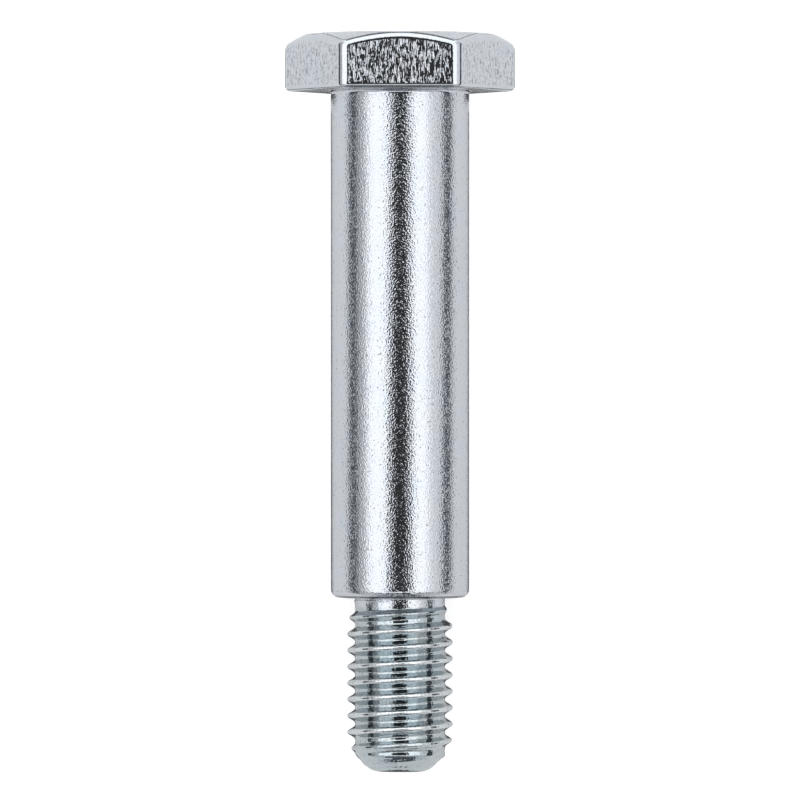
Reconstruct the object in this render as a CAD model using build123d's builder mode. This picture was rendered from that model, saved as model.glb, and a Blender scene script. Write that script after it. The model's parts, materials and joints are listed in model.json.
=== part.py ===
from build123d import *
from math import asin, atan2, cos, hypot, isclose, radians, sin, tan
import os

# Hex-head shoulder bolt: spanner size 19, a half-inch shoulder and a rolled M10 x 1.5 thread.
#
# The real bolt is headed, turned and rolled from one bar, so it is one solid. It can't stand
# by itself: it lies on the lower edge of one head flat and on the rim of its shoulder.
# The floor is Z = 0 and the bolt's axis is in the YZ plane, with the head towards +Y. The
# origin is the middle of the floor area that the bolt covers. Lengths are in millimetres.

# Driving dimensions of the head
head_across_flats = 18.6
head_height = 5.26
head_corner_radius = 1.2  # on the six upright corners
head_top_diameter = 17.6  # flat circle that the chamfer leaves on top
head_chamfer_angle = 30.0  # between the chamfer and the top, in degrees
head_edge_radius = 0.45  # round the outline of the bearing face

# Driving dimensions of the shoulder
shoulder_diameter = 12.7
shoulder_length = 46.5
shoulder_fillet = 0.3  # in the corner under the head
shoulder_chamfer = 0.45  # on the rim that stops against the threaded part, at 45 degrees

# Driving dimensions of the threaded stud
stud_length = 15.95  # from the shoulder's end to the tip
neck_length = 0.27  # from the shoulder's end to the foot of the thread
point_length = 1.5
point_angle = 45.0  # between the point's cone and the axis, in degrees
point_edge_radius = 1.4

# Driving dimensions of the thread
thread_diameter = 9.68  # over the crests
thread_pitch = 1.5
thread_depth = 0.73  # from crest to root
thread_angle = 60.0  # between the two flanks, in degrees
thread_crest_width = 0.25
thread_turn = 278.0  # turns the whole thread about the axis, in degrees
thread_rise = 1.2  # turns over which the first crests rise from the neck
thread_fall = 0.7  # turns over which the last crests fall before the point

# Radii
head_inradius = head_across_flats / 2
head_circumradius = head_inradius / cos(radians(30))  # out to the corners before they are rounded
head_top_radius = head_top_diameter / 2
shoulder_radius = shoulder_diameter / 2
crest_radius = thread_diameter / 2
root_radius = crest_radius - thread_depth  # the neck's radius too
tip_radius = root_radius - point_length * tan(radians(point_angle))
tip_flat_radius = tip_radius - point_edge_radius * tan(radians(90 - point_angle) / 2)

# Places along the axis, from the bearing face, with the head's side positive
shoulder_end = -shoulder_length
tip = shoulder_end - stud_length
point_top = tip + point_length

# At rest the floor touches the rounded lower edge of a head flat and the outer edge of the
# shoulder's chamfer. The line from that edge to the centre of the head's rounding, corrected
# for its radius, gives the slope of the axis.
contact_run = shoulder_length - shoulder_chamfer + head_edge_radius
contact_rise = head_inradius - head_edge_radius - shoulder_radius
slope = atan2(contact_rise, contact_run) + asin(head_edge_radius / hypot(contact_run, contact_rise))
head_rest = (head_inradius - head_edge_radius) * cos(slope) - head_edge_radius * sin(slope)
bearing_height = head_edge_radius + head_rest

# How far the head and the tip reach along Y, from the centre of the bearing face
head_reach = head_height * cos(slope) + head_top_radius * sin(slope)
tip_reach = tip * cos(slope) - tip_flat_radius * sin(slope)

# The bolt's own frame has its origin at the centre of the bearing face and its Z up the head.
# In the profile plane, x is the distance from the axis and y is the place along it.
bolt_frame = Plane(
    origin=(0, -(head_reach + tip_reach) / 2, bearing_height),
    x_dir=(1, 0, 0),
    z_dir=(0, cos(slope), sin(slope)),
)
along = bolt_frame.z_dir
bolt_axis = Axis(bolt_frame.origin, along)
profile_plane = Plane(origin=bolt_frame.origin, x_dir=bolt_frame.x_dir, z_dir=-bolt_frame.y_dir)

# The thread is a ridge that winds round the stud's core. Its section is a trapezoid whose foot
# is sunk in the core, and whose height grows over the first turns and shrinks over the last.
ridge_sink = 0.15
ridge_end_height = -0.03  # both ends of the ridge are just under the core's surface
flank_slope = tan(radians(thread_angle) / 2)
foot_half_width = thread_crest_width / 2 + (thread_depth + ridge_sink) * flank_slope
ridge_bottom = point_top + foot_half_width
ridge_top = shoulder_end - neck_length - foot_half_width
ridge_turns = (ridge_top - ridge_bottom) / thread_pitch
ridge_helix = Helix(
    pitch=thread_pitch,
    height=ridge_top - ridge_bottom,
    radius=root_radius,
    center=bolt_frame.offset(ridge_bottom).origin,
    direction=along,
).rotate(bolt_axis, thread_turn)
ridge_stretches = (
    (0, thread_fall, ridge_end_height, thread_depth),
    (thread_fall, ridge_turns - thread_rise, thread_depth, thread_depth),
    (ridge_turns - thread_rise, ridge_turns, thread_depth, ridge_end_height),
)

with BuildPart() as threaded_stud:
    # Core: neck, roots and point
    with BuildSketch(profile_plane):
        with BuildLine():
            core = Polyline(
                (0, tip),
                (0, shoulder_end),
                (root_radius, shoulder_end),
                (root_radius, point_top),
            )
            FilletPolyline(core @ 1, (tip_radius, tip), core @ 0, radius=point_edge_radius)
        make_face()
    revolve(axis=bolt_axis)

    # Thread: each stretch is swept between a section at its start and one at its end
    for start, end, start_height, end_height in ridge_stretches:
        stretch = ridge_helix.trim(start / ridge_turns, end / ridge_turns)
        for point, height in ((stretch @ 0, start_height), (stretch @ 1, end_height)):
            outward = along.cross(point - bolt_frame.origin).cross(along).normalized()
            top_half_width = thread_crest_width / 2 + (thread_depth - height) * flank_slope
            with BuildSketch(Plane(origin=point, x_dir=outward, z_dir=along.cross(outward))):
                with BuildLine():
                    Polyline(
                        (-ridge_sink, -foot_half_width),
                        (-ridge_sink, foot_half_width),
                        (height, top_half_width),
                        (height, -top_half_width),
                        close=True,
                    )
                make_face()
        sweep(path=stretch, multisection=True, is_frenet=True)

with BuildPart() as shoulder_bolt:
    # Hexagonal head, with one flat downwards
    with BuildSketch(bolt_frame):
        hexagon = RegularPolygon(radius=head_inradius, side_count=6, major_radius=False)
        fillet(hexagon.vertices(), radius=head_corner_radius)
    extrude(amount=head_height)
    bearing_face = shoulder_bolt.faces().sort_by(bolt_axis)[0]
    fillet(bearing_face.edges(), radius=head_edge_radius)

    # The chamfer is a cone that takes the upper ends of the corners off
    cone_foot = head_height - (head_circumradius - head_top_radius) * tan(radians(head_chamfer_angle))
    with BuildSketch(profile_plane):
        with BuildLine():
            Polyline(
                (0, 0),
                (head_circumradius, 0),
                (head_circumradius, cone_foot),
                (head_top_radius, head_height),
                (0, head_height),
                close=True,
            )
        make_face()
    revolve(axis=bolt_axis, mode=Mode.INTERSECT)

    # Shoulder, filleted into the head and chamfered at its free rim
    with BuildSketch(bolt_frame):
        Circle(shoulder_radius)
    extrude(amount=-shoulder_length)
    circles = shoulder_bolt.edges().filter_by(GeomType.CIRCLE)
    shoulder_circles = circles.filter_by(lambda circle: isclose(circle.radius, shoulder_radius))
    rim, corner = shoulder_circles.sort_by(bolt_axis)
    chamfer(rim, length=shoulder_chamfer)
    fillet(corner, radius=shoulder_fillet)

    add(threaded_stud.part)

os.makedirs("parts", exist_ok=True)
shoulder_bolt.part.label = "shoulder_bolt"
export_step(shoulder_bolt.part, "parts/shoulder_bolt.step")
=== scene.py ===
"""Looks of the shoulder bolt: its finely rounded surface, zinc finish, studio and camera."""

import json
from math import cos, radians, sin, tan

import bpy
import numpy as np
from mathutils import Matrix, Vector


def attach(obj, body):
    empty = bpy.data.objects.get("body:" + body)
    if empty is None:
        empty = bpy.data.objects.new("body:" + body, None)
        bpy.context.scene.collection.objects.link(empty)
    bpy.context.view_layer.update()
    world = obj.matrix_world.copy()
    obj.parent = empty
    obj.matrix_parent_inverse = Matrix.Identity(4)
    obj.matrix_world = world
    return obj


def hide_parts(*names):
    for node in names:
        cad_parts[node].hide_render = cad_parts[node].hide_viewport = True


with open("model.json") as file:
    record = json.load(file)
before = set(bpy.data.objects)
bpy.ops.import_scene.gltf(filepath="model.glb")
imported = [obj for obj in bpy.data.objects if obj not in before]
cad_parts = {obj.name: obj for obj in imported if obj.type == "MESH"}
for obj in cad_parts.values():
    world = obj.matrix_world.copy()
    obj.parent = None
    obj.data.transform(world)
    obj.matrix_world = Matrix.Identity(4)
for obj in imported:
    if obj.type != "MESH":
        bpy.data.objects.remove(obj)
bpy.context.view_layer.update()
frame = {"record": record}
mounts = {mount["name"]: mount for mount in frame["record"]["mounts"]}

MM = 0.001  # the bolt's own sizes are in millimetres and the scene's in metres

# ---------------------------------------------------------------- sizes, in millimetres

# Sizes that the frame gives
head_height = mounts["spanner_hexagon"]["dims"]["length_mm"]
head_inradius = mounts["spanner_hexagon"]["dims"]["r_mm"]
shoulder_radius = mounts["shoulder"]["dims"]["r_mm"]
stop_radius = mounts["shoulder_stop"]["dims"]["r_mm"]
crest_radius = mounts["thread"]["dims"]["r_mm"]

# The same sizes as the solid has
head_corner_radius = 1.2
head_top_radius = 8.8
head_chamfer_slope = tan(radians(30))
head_edge_radius = 0.45
shoulder_length = 46.5
shoulder_fillet = 0.3
shoulder_chamfer = shoulder_radius - stop_radius
stud_length = 15.95
point_length = 1.5  # and as much across, because the point's cone is at 45 degrees
point_edge_radius = 1.4
pitch = 1.5
thread_depth = 0.73
flank_slope = tan(radians(30))
first_crest = 1.1  # from the shoulder's end to the crest on the right-hand side
root_radius = crest_radius - thread_depth

# Small roundings that only the finished surface has, and its crests, a little fuller
top_rounding = 0.35  # between the head's top and its chamfer, along each
crease_rounding = 0.42  # between the chamfer and the flats, along each
rim_rounding = 0.3  # on both edges of the shoulder's chamfer
neck_fillet = 0.14
full_crest_width = 0.27
crest_blend = 0.22
root_blend = 0.34
point_blend = 0.12  # between the roots and the point

# The thread's ends, which only the finished surface has in full, below the shoulder's end
ridge_start, ridge_full = 0.8, 3.0
ridge_waning, ridge_end = 12.9, 14.7

# ---------------------------------------------------------------- the bolt's surface

COLUMNS = 288  # round the axis
SEXTANT = COLUMNS // 6
HALF_ARC = 10  # columns on each half of a rounded corner of the hexagon
THREAD_ROW = pitch / 20  # from row to row down the stud

turn = np.radians(np.arange(COLUMNS) * 360 / COLUMNS)
circle = np.column_stack((np.cos(turn), np.sin(turn)))


def ring(outline, station):
    """One row of the surface: an outline of (x, front) points at a station along the axis."""
    return np.column_stack((outline, np.broadcast_to(station, len(outline))))


def hexagon_columns():
    """For each column, the point of the inner hexagon that it hangs on and its outward normal."""
    inner = (head_inradius - head_corner_radius) / cos(radians(30))
    flat_columns = SEXTANT - 2 * HALF_ARC
    along_flat = np.concatenate(
        (np.zeros(HALF_ARC), np.arange(flat_columns + 1) / flat_columns, np.ones(HALF_ARC - 1))
    )
    rising = np.arange(HALF_ARC) * 30 / HALF_ARC
    facing = np.concatenate((rising, np.full(flat_columns + 1, 30.0), 30 + rising[1:]))
    hangers, normals = [], []
    for corner in range(6):
        ends = np.radians([60 * corner, 60 * corner + 60])
        start, end = inner * np.column_stack((np.cos(ends), np.sin(ends)))
        hangers.append(start + along_flat[:, None] * (end - start))
        angles = np.radians(60 * corner + facing)
        normals.append(np.column_stack((np.cos(angles), np.sin(angles))))
    return np.concatenate(hangers), np.concatenate(normals)


def between(start, end, shares):
    """Rows between two rows, at the given shares of the way."""
    return [start + (end - start) * share for share in shares]


def rounded(start, corner, end, steps):
    """Rows of a circular arc that leaves start towards corner and arrives at end from it."""
    a, b = start - corner, end - corner
    lengths = np.linalg.norm(a, axis=1) * np.linalg.norm(b, axis=1)
    cosine = (a * b).sum(axis=1) / lengths
    weight = np.sqrt((1 - cosine) / 2)[:, None]
    rows = []
    for share in np.arange(steps + 1) / steps:
        near, middle, far = (1 - share) ** 2, 2 * weight * share * (1 - share), share**2
        rows.append((near * start + middle * corner + far * end) / (near + middle + far))
    return rows


def towards(point, target, distance):
    """Points at a distance from each point, on the way to its target."""
    way = target - point
    return point + way * (distance / np.linalg.norm(way, axis=1))[:, None]


def smooth_min(a, b, blend):
    """The smaller of two values, rounded where they are closer than blend."""
    near = np.maximum(blend - np.abs(a - b), 0) / blend
    return np.minimum(a, b) - near**2 * blend / 4


def stud_radius(depth):
    """Radius of the threaded stud on each column, at a depth below the shoulder's end."""
    cone = root_radius + stud_length - point_length - depth
    height = np.zeros(COLUMNS)
    first = first_crest + pitch * turn / (2 * np.pi)
    windings = range(-1, int(ridge_end / pitch) + 1)
    for winding in windings:
        centre = first + winding * pitch
        rise = np.clip((centre - ridge_start) / (ridge_full - ridge_start), 0, 1)
        fall = np.clip((ridge_end - centre) / (ridge_end - ridge_waning), 0, 1)
        top = thread_depth * np.minimum(rise * (2 - rise), fall)
        flank = top + (full_crest_width / 2 - np.abs(depth - centre)) / flank_slope
        height = -smooth_min(-height, -smooth_min(top, flank, crest_blend), root_blend)
    return smooth_min(root_radius, cone, point_blend) + height


def head_rows():
    """Rows from the middle of the head's top to the shoulder, in stretches with their finishes."""
    hangers, normals = hexagon_columns()
    outline = hangers + normals * head_corner_radius
    reach = np.linalg.norm(outline, axis=1)
    rays = outline / reach[:, None]
    crease_height = head_height - (reach - head_top_radius) * head_chamfer_slope

    top_edge = ring(rays * head_top_radius, head_height)
    crease = ring(outline, crease_height)
    middle = ring(rays * 0.5, head_height)
    disc_end = ring(rays * (head_top_radius - top_rounding), head_height)
    cone_start = towards(top_edge, crease, top_rounding)
    cone_end = towards(crease, top_edge, crease_rounding)
    flat_start = ring(outline, crease_height - crease_rounding)
    flat_end = ring(outline, head_edge_radius)
    face_edge = ring(hangers + normals * (head_corner_radius - head_edge_radius), 0)
    foot = ring(circle * (shoulder_radius + shoulder_fillet), 0)
    wall = ring(circle * shoulder_radius, -shoulder_fillet)

    above = between(middle, disc_end, (0, 0.3, 0.6, 0.9, 0.985))
    above += rounded(disc_end, top_edge, cone_start, 4)
    above += between(cone_start, cone_end, (0.1, 0.5, 0.9))
    upper = rounded(cone_end, crease, flat_start, 7)
    flats = between(flat_start, flat_end, (0.02, 0.2, 0.4, 0.6, 0.8, 0.98))
    lower = rounded(flat_end, ring(outline, 0), face_edge, 7)
    below = between(face_edge, foot, (0.04, 0.35, 0.7, 0.96))
    below += rounded(foot, ring(circle * shoulder_radius, 0), wall, 5)
    return (
        (above, "pressed"),
        # The crease row between chamfer and flats is painted dark: a painted shade line
        (upper[:1], "painted_shade_line"),
        (upper[1:], "edges"),
        (flats, "flats"),
        (lower[:3], "edges"),
        # The bearing edge's row is painted dark: a painted shade line
        (lower[3:4], "painted_shade_line"),
        (lower[4:] + below, "pressed"),
    )


def shoulder_rows():
    """Rows from the fillet under the head to the neck, in stretches with their finishes."""
    start = ring(circle * shoulder_radius, -shoulder_fillet)
    rim = ring(circle * shoulder_radius, shoulder_chamfer - shoulder_length)
    stop = ring(circle * stop_radius, -shoulder_length)
    neck_corner = ring(circle * root_radius, -shoulder_length)
    wall_end = towards(rim, start, rim_rounding)
    stop_start = towards(stop, neck_corner, rim_rounding)
    stop_end = towards(neck_corner, stop, neck_fillet)
    neck_start = ring(circle * root_radius, -shoulder_length - neck_fillet)

    wall = between(start, wall_end, np.concatenate(([0.002], np.arange(1, 24) / 24, [0.998])))
    wall += rounded(wall_end, rim, towards(rim, stop, rim_rounding), 4)
    edge = rounded(towards(stop, rim, rim_rounding), stop, stop_start, 4)
    face = between(stop_start, stop_end, (0.06, 0.5, 0.94))
    face += rounded(stop_end, neck_corner, neck_start, 4)
    # The outer rim of the shoulder's chamfer is painted dark: a painted shade line
    return (wall, "turned"), (edge[:2], "painted_shade_line"), (edge[2:] + face, "turned")


def stud_rows():
    """Rows of the stud, down to the thread and from there to the middle of its point."""
    tip = -shoulder_length - stud_length
    tip_corner = ring(circle * (root_radius - point_length), tip)
    tangent = point_edge_radius * tan(radians(45) / 2)
    cone_end = towards(tip_corner, ring(circle * root_radius, tip + point_length), tangent)
    disc_start = towards(tip_corner, ring(circle * 0, tip), tangent)
    cone_end_depth = -shoulder_length - cone_end[0, 2]

    rows = []
    for depth in np.arange(neck_fillet, cone_end_depth, THREAD_ROW)[1:]:
        rows.append(ring(circle * stud_radius(depth)[:, None], -shoulder_length - depth))
    rows += rounded(cone_end, tip_corner, disc_start, 8)
    rows += between(disc_start, ring(circle * 0.3, tip), (0.05, 0.5, 1))
    neck_rows = int((ridge_start - neck_fillet) / THREAD_ROW)
    return rows[:neck_rows], rows[neck_rows:]


def bolt_matrix():
    """From the bolt's own millimetres (right, front, along the axis) to the scene."""
    hexagon = mounts["spanner_hexagon"]
    along = Vector(hexagon["axis"]).normalized()
    right = Vector((1, 0, 0))
    front = right.cross(along)
    bearing = Vector(hexagon["pos_m"]) - along * (head_height / 2 * MM)
    axes = Matrix((right, front, along)).transposed().to_4x4()
    return Matrix.Translation(bearing) @ axes @ Matrix.Scale(MM, 4)


def make_bolt(finishes):
    """The whole bolt as one closed surface of rows and columns."""
    neck, thread = stud_rows()
    zones = head_rows() + shoulder_rows() + ((neck, "turned"), (thread, "rolled"))
    rows = [row for part, _ in zones for row in part]
    zone_of_row = [zone for part, zone in zones for _ in part]
    points = np.concatenate(rows)
    column = np.arange(COLUMNS)
    after = np.roll(column, -1)
    faces = [tuple(int(i) for i in column)]
    for row in range(len(rows) - 1):
        upper, lower = row * COLUMNS, (row + 1) * COLUMNS
        quads = np.column_stack((upper + column, lower + column, lower + after, upper + after))
        faces += [tuple(quad) for quad in quads.tolist()]
    faces.append(tuple(int(i) for i in (len(rows) - 1) * COLUMNS + column[::-1]))

    mesh = bpy.data.meshes.new("bolt_surface")
    mesh.from_pydata(points.tolist(), [], faces)
    mesh.transform(bolt_matrix())
    names = list(finishes)
    for finish in finishes.values():
        mesh.materials.append(finish)
    slots = np.repeat([names.index(zone) for zone in zone_of_row[:-1]], COLUMNS)
    in_sextant = np.tile(column % SEXTANT, len(rows) - 1)
    in_corner = (in_sextant < HALF_ARC) | (in_sextant >= SEXTANT - HALF_ARC)
    slots[(slots == names.index("flats")) & in_corner] = names.index("edges")
    first, last = (names.index(zone) for zone in (zone_of_row[0], zone_of_row[-1]))
    mesh.polygons.foreach_set("material_index", [first, *slots.tolist(), last])
    mesh.polygons.foreach_set("use_smooth", [True] * len(faces))
    mesh.update()
    bolt = bpy.data.objects.new("finished_bolt", mesh)
    bpy.context.collection.objects.link(bolt)
    weighted = bolt.modifiers.new("Weighted normals", "WEIGHTED_NORMAL")
    weighted.weight = 50
    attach(bolt, "root")
    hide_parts("shoulder_bolt")
    return bolt


# ---------------------------------------------------------------- finishes


def noise(nodes, links, place, scale, detail, stretch=(1, 1, 1)):
    """A noise texture's value, in features per millimetre, stretched along the bolt's own axes."""
    fitted = nodes.new("ShaderNodeVectorMath")
    fitted.operation = "MULTIPLY"
    fitted.inputs[1].default_value = stretch
    links.new(place, fitted.inputs[0])
    texture = nodes.new("ShaderNodeTexNoise")
    texture.inputs["Scale"].default_value = scale
    texture.inputs["Detail"].default_value = detail
    texture.inputs["Roughness"].default_value = 0.55
    links.new(fitted.outputs[0], texture.inputs["Vector"])
    return texture.outputs["Fac"]


def add_bump(nodes, links, height, distance, under=None):
    """A normal bumped by a height of 0 to 1, which stands for a distance in millimetres."""
    bump = nodes.new("ShaderNodeBump")
    bump.inputs["Distance"].default_value = distance * MM
    bump.inputs["Filter Width"].default_value = 0.1
    links.new(height, bump.inputs["Height"])
    if under:
        links.new(under, bump.inputs["Normal"])
    return bump.outputs["Normal"]


def fitted_range(nodes, links, value, source, target):
    """A value taken from one range to another, and kept within it."""
    spread = nodes.new("ShaderNodeMapRange")
    for label, bound in zip(("From Min", "From Max", "To Min", "To Max"), (*source, *target)):
        spread.inputs[label].default_value = bound
    links.new(value, spread.inputs["Value"])
    return spread.outputs["Result"]


def mixed(nodes, links, under, colour, share):
    """A colour laid over what is under it, by share."""
    mix = nodes.new("ShaderNodeMix")
    mix.data_type = "RGBA"
    mix.inputs["B"].default_value = (*colour, 1)
    links.new(under, mix.inputs["A"])
    links.new(share, mix.inputs["Factor"])
    return mix.outputs["Result"]


def axis_distance(nodes, links, place):
    """Distance of a place in the bolt's own coordinates from its axis."""
    across = nodes.new("ShaderNodeVectorMath")
    across.operation = "MULTIPLY"
    across.inputs[1].default_value = (1, 1, 0)
    links.new(place, across.inputs[0])
    length = nodes.new("ShaderNodeVectorMath")
    length.operation = "LENGTH"
    links.new(across.outputs["Vector"], length.inputs[0])
    return length.outputs["Value"]


def zinc(
    name,
    pebbles,
    grain=None,
    roughness=0.1,
    tints=((0.528, 0.562, 0.61), (0.545, 0.565, 0.6)),
    hollow_shade=0.4,
    specks=0.68,
    crests=None,
):
    """Bright zinc plate over steel: a pebbled skin with painted shade in its hollows, dull specks
    and faint tints.

    Pebbles are (features per millimetre, height in millimetres), and grain is the same with how
    it is stretched. The lowest places of the skin are painted darker, a painted shade, by the share
    after the tints, and specks lie where a noise goes over the value of specks. Crests is the
    colour of a thread's crests, painted lighter than its roots as a painted highlight.
    """
    material = bpy.data.materials.new("zinc_" + name)
    material.use_nodes = True
    nodes, links = material.node_tree.nodes, material.node_tree.links
    shader = nodes["Principled BSDF"]
    shader.inputs["Metallic"].default_value = 1.0

    # Own coordinates in millimetres: x to the right, y to the back and z along the axis
    place = nodes.new("ShaderNodeTexCoord")
    own = nodes.new("ShaderNodeMapping")
    own.vector_type = "TEXTURE"
    matrix = bolt_matrix() @ Matrix.Scale(-1, 4, (0, 1, 0))
    own.inputs["Location"].default_value = matrix.to_translation()
    own.inputs["Rotation"].default_value = matrix.to_euler()
    own.inputs["Scale"].default_value = (MM, MM, MM)
    links.new(place.outputs["Object"], own.inputs["Vector"])
    millimetres = own.outputs["Vector"]

    hills = ((0.42, 1), (0, 0.58))  # the noise without its valleys, which become flat
    scale, height = pebbles
    skin = noise(nodes, links, millimetres, scale, 0.3)
    normal = add_bump(nodes, links, fitted_range(nodes, links, skin, *hills), height)
    if grain:
        scale, height, stretch = grain
        furrows = noise(nodes, links, millimetres, scale, 0.5, stretch)
        normal = add_bump(nodes, links, fitted_range(nodes, links, furrows, *hills), height, normal)
    links.new(normal, shader.inputs["Normal"])

    colours = nodes.new("ShaderNodeValToRGB")
    for element, position, tint in zip(colours.color_ramp.elements, (0.38, 0.62), tints):
        element.position = position
        element.color = (*tint, 1)
    links.new(noise(nodes, links, millimetres, 0.35, 2), colours.inputs["Fac"])
    last = colours.outputs["Color"]
    # The crests are painted lighter than the flanks and roots below them: a painted highlight
    if crests:
        reach = axis_distance(nodes, links, millimetres)
        painted_crest_highlight = fitted_range(nodes, links, reach, (crest_radius - 0.3, crest_radius - 0.1), (0, 1))
        last = mixed(nodes, links, last, crests, painted_crest_highlight)
    # One colour for painted shade in the skin's lowest places and for dull specks where a noise
    # runs high
    specks_and_shade = (0.2, 0.215, 0.235)
    shaded_hollows = fitted_range(nodes, links, skin, (0.25, 0.5), (hollow_shade, 0))
    speckle = noise(nodes, links, millimetres, 4.2, 1.5)
    dots = fitted_range(nodes, links, speckle, (specks, specks + 0.05), (0, 1))
    for share in (shaded_hollows, dots):
        last = mixed(nodes, links, last, specks_and_shade, share)
    links.new(last, shader.inputs["Base Color"])

    uneven = noise(nodes, links, millimetres, 1.1, 3)
    spread = fitted_range(nodes, links, uneven, (0.3, 0.7), (roughness * 0.7, roughness * 1.3))
    links.new(spread, shader.inputs["Roughness"])
    return material


# ---------------------------------------------------------------- studio and camera


def glow_material(name, strength):
    """A white glow, for the studio's lights and flags."""
    material = bpy.data.materials.new(name)
    material.use_nodes = True
    nodes, links = material.node_tree.nodes, material.node_tree.links
    nodes.remove(nodes["Principled BSDF"])
    glow = nodes.new("ShaderNodeEmission")
    glow.inputs["Strength"].default_value = strength
    links.new(glow.outputs[0], nodes["Material Output"].inputs["Surface"])
    return material


def card(name, corners, material):
    """A flat card of the studio, which the camera doesn't see but the metal does."""
    mesh = bpy.data.meshes.new(name)
    mesh.from_pydata(corners, [], [tuple(range(len(corners)))])
    mesh.materials.append(material)
    piece = bpy.data.objects.new(name, mesh)
    piece.visible_camera = False
    bpy.context.collection.objects.link(piece)
    return piece


def upright(card_name, half_width, y, foot, top, material):
    """An upright card across the bolt's axis."""
    x = half_width
    return card(card_name, [(-x, y, foot), (x, y, foot), (x, y, top), (-x, y, top)], material)


def make_softboxes():
    """Two long softboxes overhead with their dimmer spill, and an upright one past the head.

    Between the two is a dark gap, which closes beyond both ends of the bolt.
    """
    height, head_end, tip_end, spill_foot = 0.4, 0.45, -0.3, 0.14
    # From the tip's end to the head's: how far the gap reaches, in degrees from straight above
    gap = (
        (tip_end, 0),
        (-0.2, 0),
        (-0.14, 20),
        (-0.03, 20),
        (0, 16.5),
        (0.04, 12),
        (0.2, 0),
        (head_end, 0),
    )
    inner = [(height * tan(radians(angle)), y) for y, angle in gap]
    white = glow_material("softbox", 1.78)
    # Side, name, where the softbox and its spill overhead end, in degrees, and the spill's glow
    sides = ((-1, "left", 57, 57, 0.7), (1, "right", 48, 57, 1.08))
    for side, name, edge, spill_end, strength in sides:
        grey = glow_material("spill_" + name, strength)
        outer, far = (height * tan(radians(angle)) for angle in (edge, spill_end))
        outline = inner + [(outer, head_end), (outer, tip_end)]
        card("softbox_" + name, [(side * x, y, height) for x, y in outline], white)
        spill = ((outer, height), (far, height), (far, spill_foot))
        for part, (start, end) in enumerate(zip(spill, spill[1:])):
            if start != end:
                ends = ((start, tip_end), (start, head_end), (end, head_end), (end, tip_end))
                card(f"spill_{name}_{part}", [(side * x, y, z) for (x, z), y in ends], grey)
    upright("softbox_head", half_width=0.35, y=head_end, foot=0.05, top=height, material=white)


def make_flags():
    """Black flags behind the softboxes' gap and past the tip, which draw the dark lines."""
    black = glow_material("flag", 0.045)
    x, tip_end, head_end, top = 0.17, -0.3, 0.25, 0.42
    overhead = [(-x, tip_end, top), (x, tip_end, top), (x, head_end, top), (-x, head_end, top)]
    card("flag_overhead", overhead, black)
    upright("flag_tip", half_width=0.12, y=-0.35, foot=0.19, top=top, material=black)


def plain_material(name, colour):
    """A matt material of one colour, for the studio."""
    material = bpy.data.materials.new(name)
    material.use_nodes = True
    shader = material.node_tree.nodes["Principled BSDF"]
    shader.inputs["Base Color"].default_value = (*colour, 1)
    shader.inputs["Roughness"].default_value = 0.9
    return material


def make_dark_cards():
    """Low grey boards beside the bolt and past its ends, and dark cards under it, a painted shadow
    of the bolt on the floor.

    Only the metal sees them: they cast no shadow and take no light from the floor.
    """
    grey = plain_material("board", (0.085, 0.095, 0.11))
    distance, height = 0.137, 0.043
    cards = []
    for name, half_length, across in (("side", 0.1, False), ("end", 0.05, True)):
        for side in (-1, 1):
            feet = [(side * distance, -half_length), (side * distance, half_length)]
            feet = [(y, x) for x, y in feet] if across else feet
            corners = [(*feet[0], 0), (*feet[1], 0), (*feet[1], height), (*feet[0], height)]
            cards.append(card(f"board_{name}_{side}", corners, grey))

    # Painted shadow under the head, the shoulder and the stud, and a little past the tip: the
    # stations where each card starts and ends, and half its width, in millimetres
    dark = plain_material("under", (0.12, 0.12, 0.125))
    lift, past_tip = 0.02 * MM, 14
    tip = -shoulder_length - stud_length
    stretches = (
        (head_height, 0, head_inradius / cos(radians(30)) + 6),
        (-1, -shoulder_length, shoulder_radius + 3.2),
        (-shoulder_length, tip, crest_radius + 1),
        (tip, tip - past_tip, 2.5),
    )
    for top, bottom, half_width in stretches:
        x = half_width * MM
        y_top, y_bottom = ((bolt_matrix() @ Vector((0, 0, station))).y for station in (top, bottom))
        corners = [(-x, y_bottom, lift), (x, y_bottom, lift), (x, y_top, lift), (-x, y_top, lift)]
        cards.append(card(f"under_{len(cards)}", corners, dark))
    for piece in cards:
        piece.visible_diffuse = False
        piece.visible_shadow = False


def white_material(name, seen, mirrored):
    """Plain white, with one glow for the camera and another for what the metal mirrors.

    The light alone leaves the white a light grey. The camera's glow fills that up to white, and
    the metal's sets how much lighter than that grey it looks in the bolt.
    """
    material = plain_material(name, (0.86, 0.86, 0.86))
    nodes, links = material.node_tree.nodes, material.node_tree.links
    shader = nodes["Principled BSDF"]
    shader.inputs["Specular IOR Level"].default_value = 0.0
    shader.inputs["Emission Color"].default_value = (1, 1, 1, 1)
    path = nodes.new("ShaderNodeLightPath")
    total = None
    fills = (("Is Camera Ray", seen), ("Is Transmission Ray", seen), ("Is Glossy Ray", mirrored))
    for ray, fill in fills:
        term = nodes.new("ShaderNodeMath")
        term.operation = "MULTIPLY_ADD"
        term.inputs[1].default_value = fill
        term.inputs[2].default_value = 0
        links.new(path.outputs[ray], term.inputs[0])
        if total:
            links.new(total, term.inputs[2])
        total = term.outputs[0]
    links.new(total, shader.inputs["Emission Strength"])
    return material


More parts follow.
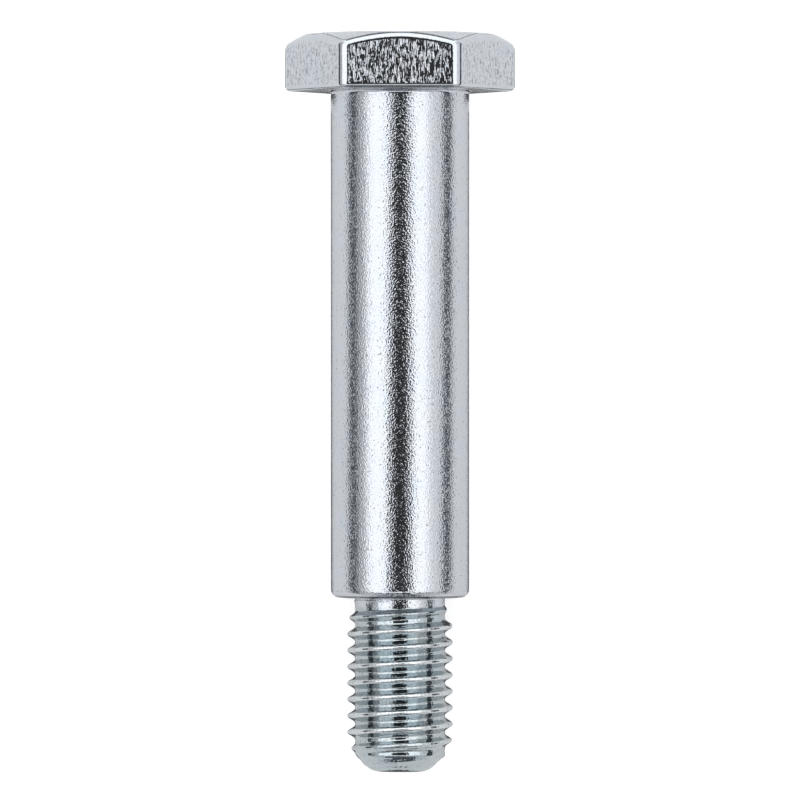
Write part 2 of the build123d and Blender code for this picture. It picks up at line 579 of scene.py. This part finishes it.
def make_floor():
    """A plain white floor with a round wall far from the bolt."""
    radius, rise, steps = 2.2, 1.17, 96
    angles = [2 * np.pi * step / steps for step in range(steps)]
    base = [(radius * cos(a), radius * sin(a), 0) for a in angles]
    top = [(x, y, rise) for x, y, _ in base]
    faces = [tuple(range(steps))]
    faces += [(i, (i + 1) % steps, steps + (i + 1) % steps, steps + i) for i in range(steps)]
    mesh = bpy.data.meshes.new("floor")
    mesh.from_pydata(base + top, [], faces)
    mesh.materials.append(white_material("white_floor", 0.5, 0.07))
    mesh.materials.append(white_material("white_wall", 0.85, 0.5))
    mesh.polygons.foreach_set("material_index", [0] + [1] * steps)
    floor = bpy.data.objects.new("floor", mesh)
    bpy.context.collection.objects.link(floor)


def make_world():
    """Even grey light from all round, which fills the shadows."""
    world = bpy.data.worlds.new("studio")
    world.use_nodes = True
    world.node_tree.nodes["Background"].inputs["Color"].default_value = (0.33, 0.335, 0.34, 1)
    bpy.context.scene.world = world


def make_camera():
    """Looks down on the lying bolt, square to its axis, with the head at the top of the picture."""
    distance = 827 * MM
    width = 73.5 * MM  # of the picture, in the plane of the axis
    aim = -28.35  # station that the camera looks at
    sensor_width = 36
    matrix = bolt_matrix()
    right, front, along = (column.normalized() for column in matrix.to_3x3().transposed())
    target = matrix @ Vector((0, 0, aim))
    heading = Matrix((right, along, front)).transposed().to_4x4()
    camera = bpy.data.objects.new("camera", bpy.data.cameras.new("camera"))
    camera.matrix_world = Matrix.Translation(target + front * distance) @ heading
    camera.data.sensor_width = sensor_width
    camera.data.lens = sensor_width * distance / width
    camera.data.clip_start = 0.05
    bpy.context.collection.objects.link(camera)
    bpy.context.scene.camera = camera


# ---------------------------------------------------------------- the scene

finishes = {
    "pressed": zinc("pressed", (5, 0.016)),
    "edges": zinc("edges", (4, 0.007), hollow_shade=0.15, specks=0.72),
    # Very dark tints for the rows along the crease, the bearing edge and the shoulder's rim: a
    # painted shade line along these crisp edges
    "painted_shade_line": zinc(
        "painted_shade_line",
        (5, 0.016),
        tints=((0.05, 0.055, 0.06), (0.26, 0.28, 0.3)),
        hollow_shade=0.9,
    ),
    "flats": zinc("flats", (4, 0.02), (5.6, 0.074, (1, 1, 0.22)), hollow_shade=0.5),
    "turned": zinc("turned", (6.2, 0.031), (10, 0.0127, (1, 1, 1)), hollow_shade=0.15, specks=0.67),
    # The thread's crests get a lighter colour: a painted highlight
    "rolled": zinc(
        "rolled",
        (4, 0.024),
        roughness=0.08,
        tints=((0.43, 0.49, 0.52), (0.47, 0.51, 0.525)),
        crests=(0.6, 0.63, 0.65),
    ),
}
make_bolt(finishes)
make_softboxes()
make_flags()
make_dark_cards()
make_floor()
make_world()
make_camera()
bpy.context.scene.view_settings.view_transform = "Standard"
